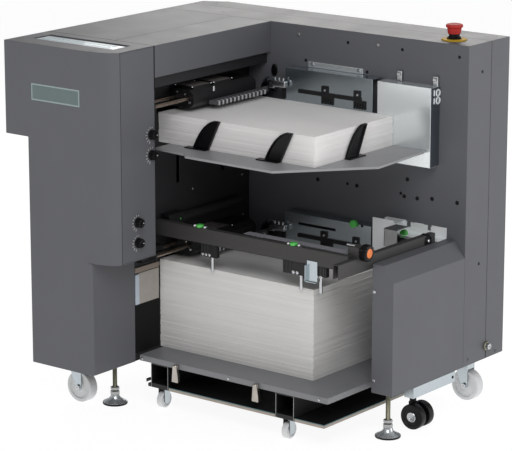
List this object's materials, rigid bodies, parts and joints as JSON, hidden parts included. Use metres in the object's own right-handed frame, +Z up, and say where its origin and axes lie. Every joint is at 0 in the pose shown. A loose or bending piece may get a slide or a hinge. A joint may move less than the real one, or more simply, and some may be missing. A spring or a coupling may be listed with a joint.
{
  "type": "sheet feeder",
  "caption": "Floor-standing sheet feeder of a booklet maker line, with a tall tower, an upper paper tray, a lower lift table over a small cart, and open bins to the front.",
  "frame": {"origin": "on the floor under the middle of the machine's outer box", "axes": "+X along the front face to the right, +Y from the front to the back, +Z up"},
  "size_m": [0.914, 0.758, 0.9063],
  "materials": {
    "grey_paint": "fine-textured grey powder coat",
    "dark_paint": "satin near-black paint",
    "tray_paint": "satin mid-grey paint",
    "black_steel": "black zinc and satin black paint",
    "black_plastic": "moulded matt",
    "galvanised": "galvanised sheet, soft spangle",
    "bright_steel": "bright zinc and polished steel",
    "comb_plastic": "moulded light grey",
    "white_nylon": "cast white nylon",
    "black_rubber": "smooth black tread",
    "paper_white": "uncoated sheet edges",
    "green_plastic": "green moulded",
    "red_plastic": "red moulded",
    "yellow_plastic": "yellow moulded"
  },
  "bodies": {
    "machine": {"tower_front_cover": "grey_paint", "knob_panel": "grey_paint", "left_side_cover": "grey_paint", "tower_top_panel": "grey_paint", "beam_cover": "grey_paint", "base_frame": "black_steel", "feed_wall": "dark_paint", "back_wall_panel": "grey_paint", "rear_cover": "grey_paint", "power_inlet": "black_plastic", "right_lower_cover": "grey_paint", "upper_feed_head": "black_steel", "lower_feed_head": "black_steel", "upper_tooth_comb": "comb_plastic", "lower_tooth_comb": "comb_plastic", "upper_guide_plate": "galvanised", "lower_guide_plate": "galvanised", "upper_comb_rail": "black_steel", "lower_comb_rail": "black_steel", "upper_guide_box": "galvanised", "lower_guide_box": "galvanised", "front_bar": "black_steel", "right_bar": "black_steel", "twin_caster_bracket": "galvanised", "estop_ring": "yellow_plastic"},
    "tray": {"upper_tray": "tray_paint", "upper_stack": "paper_white"},
    "fin_1": {"side_fin_1": "black_plastic"},
    "fin_2": {"side_fin_2": "black_plastic"},
    "fin_3": {"side_fin_3": "black_plastic"},
    "table": {"lift_table": "tray_paint", "lower_stack": "paper_white"},
    "latch_left": {"table_latch_left": "bright_steel"},
    "latch_right": {"table_latch_right": "bright_steel"},
    "cart": {"cart_rail_left": "black_steel", "cart_rail_right": "black_steel", "cart_base_plate": "black_steel"},
    "cart_roller_left": {"cart_wheel_left": "white_nylon"},
    "cart_roller_right": {"cart_wheel_right": "white_nylon"},
    "cart_rear_rollers": {"cart_rear_axle": "white_nylon"},
    "front_swivel": {"front_caster_fork": "galvanised"},
    "front_wheel": {"front_caster_wheel": "white_nylon"},
    "end_swivel": {"end_caster_fork": "galvanised"},
    "end_wheel": {"end_caster_wheel": "white_nylon"},
    "rear_swivel": {"rear_caster_fork": "galvanised"},
    "rear_wheel": {"rear_caster_wheel": "white_nylon"},
    "twin_swivel": {"twin_caster_fork": "black_plastic"},
    "twin_wheels": {"twin_caster_wheels": "black_rubber"},
    "foot_left": {"levelling_foot_left": "bright_steel"},
    "foot_right": {"levelling_foot_right": "bright_steel"},
    "knob_1": {"air_knob_1": "black_plastic"},
    "knob_2": {"air_knob_2": "black_plastic"},
    "knob_3": {"air_knob_3": "black_plastic"},
    "knob_4": {"air_knob_4": "black_plastic"},
    "estop": {"estop_button": "red_plastic"},
    "frame_clamp": {"frame_knob": "black_plastic"},
    "thumb_left": {"thumb_knob_left": "green_plastic"},
    "thumb_right": {"thumb_knob_right": "green_plastic"},
    "stop_left": {"pile_stop_left": "black_steel"},
    "stop_right": {"pile_stop_right": "black_steel"}
  },
  "joints": [
    {"name": "estop_press", "type": "slide", "parent": "machine", "child": "estop", "axis": [0, 0, -1], "range_m": [0, 0.004], "stiffness_N_per_m": 500},
    {"name": "knob_1_turn", "type": "hinge", "parent": "machine", "child": "knob_1", "pos_m": [-0.1307, -0.2399, 0.66399], "axis": [1, 0, 0], "range_deg": [-135, 135]},
    {"name": "knob_2_turn", "type": "hinge", "parent": "machine", "child": "knob_2", "pos_m": [-0.1307, -0.2399, 0.61607], "axis": [1, 0, 0], "range_deg": [-135, 135]},
    {"name": "knob_3_turn", "type": "hinge", "parent": "machine", "child": "knob_3", "pos_m": [-0.1307, -0.29107, 0.4659], "axis": [1, 0, 0], "range_deg": [-135, 135]},
    {"name": "knob_4_turn", "type": "hinge", "parent": "machine", "child": "knob_4", "pos_m": [-0.1307, -0.29107, 0.41798], "axis": [1, 0, 0], "range_deg": [-135, 135]},
    {"name": "tray_lift", "type": "slide", "parent": "machine", "child": "tray", "axis": [0, 0, 1], "range_m": [-0.09, 0]},
    {"name": "fin_1_slide", "type": "slide", "parent": "tray", "child": "fin_1", "axis": [0, -1, 0], "range_m": [0, 0.04]},
    {"name": "fin_2_slide", "type": "slide", "parent": "tray", "child": "fin_2", "axis": [0, -1, 0], "range_m": [0, 0.04]},
    {"name": "fin_3_slide", "type": "slide", "parent": "tray", "child": "fin_3", "axis": [1, 0, 0], "range_m": [0, 0.06]},
    {"name": "frame_knob_turn", "type": "hinge", "parent": "machine", "child": "frame_clamp", "pos_m": [0.3813, -0.118, 0.442], "axis": [1, 0, 0], "continuous": true},
    {"name": "thumb_left_turn", "type": "hinge", "parent": "machine", "child": "thumb_left", "pos_m": [-0.067, -0.143, 0.4363], "axis": [0, 0, 1], "continuous": true},
    {"name": "thumb_right_turn", "type": "hinge", "parent": "machine", "child": "thumb_right", "pos_m": [0.207, -0.143, 0.4363], "axis": [0, 0, 1], "continuous": true},
    {"name": "stop_left_slide", "type": "slide", "parent": "machine", "child": "stop_left", "axis": [1, 0, 0], "range_m": [-0.05, 0.1]},
    {"name": "stop_right_slide", "type": "slide", "parent": "machine", "child": "stop_right", "axis": [1, 0, 0], "range_m": [-0.06, 0.05]},
    {"name": "table_lift", "type": "slide", "parent": "machine", "child": "table", "axis": [0, 0, 1], "range_m": [0, 0.003]},
    {"name": "latch_left_flip", "type": "hinge", "parent": "table", "child": "latch_left", "pos_m": [-0.075, -0.2253, 0.115], "axis": [1, 0, 0], "range_deg": [-90, 0]},
    {"name": "latch_right_flip", "type": "hinge", "parent": "table", "child": "latch_right", "pos_m": [0.163, -0.2253, 0.115], "axis": [1, 0, 0], "range_deg": [-90, 0]},
    {"name": "cart_roll", "type": "slide", "parent": "machine", "child": "cart", "axis": [0, -1, 0], "range_m": [0, 0.4]},
    {"name": "cart_left_spin", "type": "hinge", "parent": "cart", "child": "cart_roller_left", "pos_m": [-0.129, -0.205, 0.02], "axis": [1, 0, 0], "continuous": true},
    {"name": "cart_right_spin", "type": "hinge", "parent": "cart", "child": "cart_roller_right", "pos_m": [0.242, -0.205, 0.02], "axis": [1, 0, 0], "continuous": true},
    {"name": "cart_rear_spin", "type": "hinge", "parent": "cart", "child": "cart_rear_rollers", "pos_m": [-0.129, 0.1757, 0.02], "axis": [1, 0, 0], "continuous": true},
    {"name": "front_swivel_turn", "type": "hinge", "parent": "machine", "child": "front_swivel", "pos_m": [-0.328, -0.287, 0.1], "axis": [0, 0, 1], "continuous": true},
    {"name": "front_wheel_spin", "type": "hinge", "parent": "front_swivel", "child": "front_wheel", "pos_m": [-0.314, -0.287, 0.0375], "axis": [0, 1, 0], "continuous": true},
    {"name": "end_swivel_turn", "type": "hinge", "parent": "machine", "child": "end_swivel", "pos_m": [0.387, 0.289, 0.1], "axis": [0, 0, 1], "continuous": true},
    {"name": "end_wheel_spin", "type": "hinge", "parent": "end_swivel", "child": "end_wheel", "pos_m": [0.401, 0.289, 0.0375], "axis": [0, 1, 0], "continuous": true},
    {"name": "rear_swivel_turn", "type": "hinge", "parent": "machine", "child": "rear_swivel", "pos_m": [-0.328, 0.289, 0.1], "axis": [0, 0, 1], "continuous": true},
    {"name": "rear_wheel_spin", "type": "hinge", "parent": "rear_swivel", "child": "rear_wheel", "pos_m": [-0.314, 0.289, 0.0375], "axis": [0, 1, 0], "continuous": true},
    {"name": "twin_swivel_turn", "type": "hinge", "parent": "machine", "child": "twin_swivel", "pos_m": [0.414, 0.041, 0.07], "axis": [0, 0, 1], "continuous": true},
    {"name": "twin_wheel_spin", "type": "hinge", "parent": "twin_swivel", "child": "twin_wheels", "pos_m": [0.427, 0.041, 0.03], "axis": [0, 1, 0], "continuous": true},
    {"name": "foot_left_screw", "type": "slide", "parent": "machine", "child": "foot_left", "axis": [0, 0, 1], "range_m": [0, 0.012]},
    {"name": "foot_right_screw", "type": "slide", "parent": "machine", "child": "foot_right", "axis": [0, 0, 1], "range_m": [0, 0.012]}
  ]
}
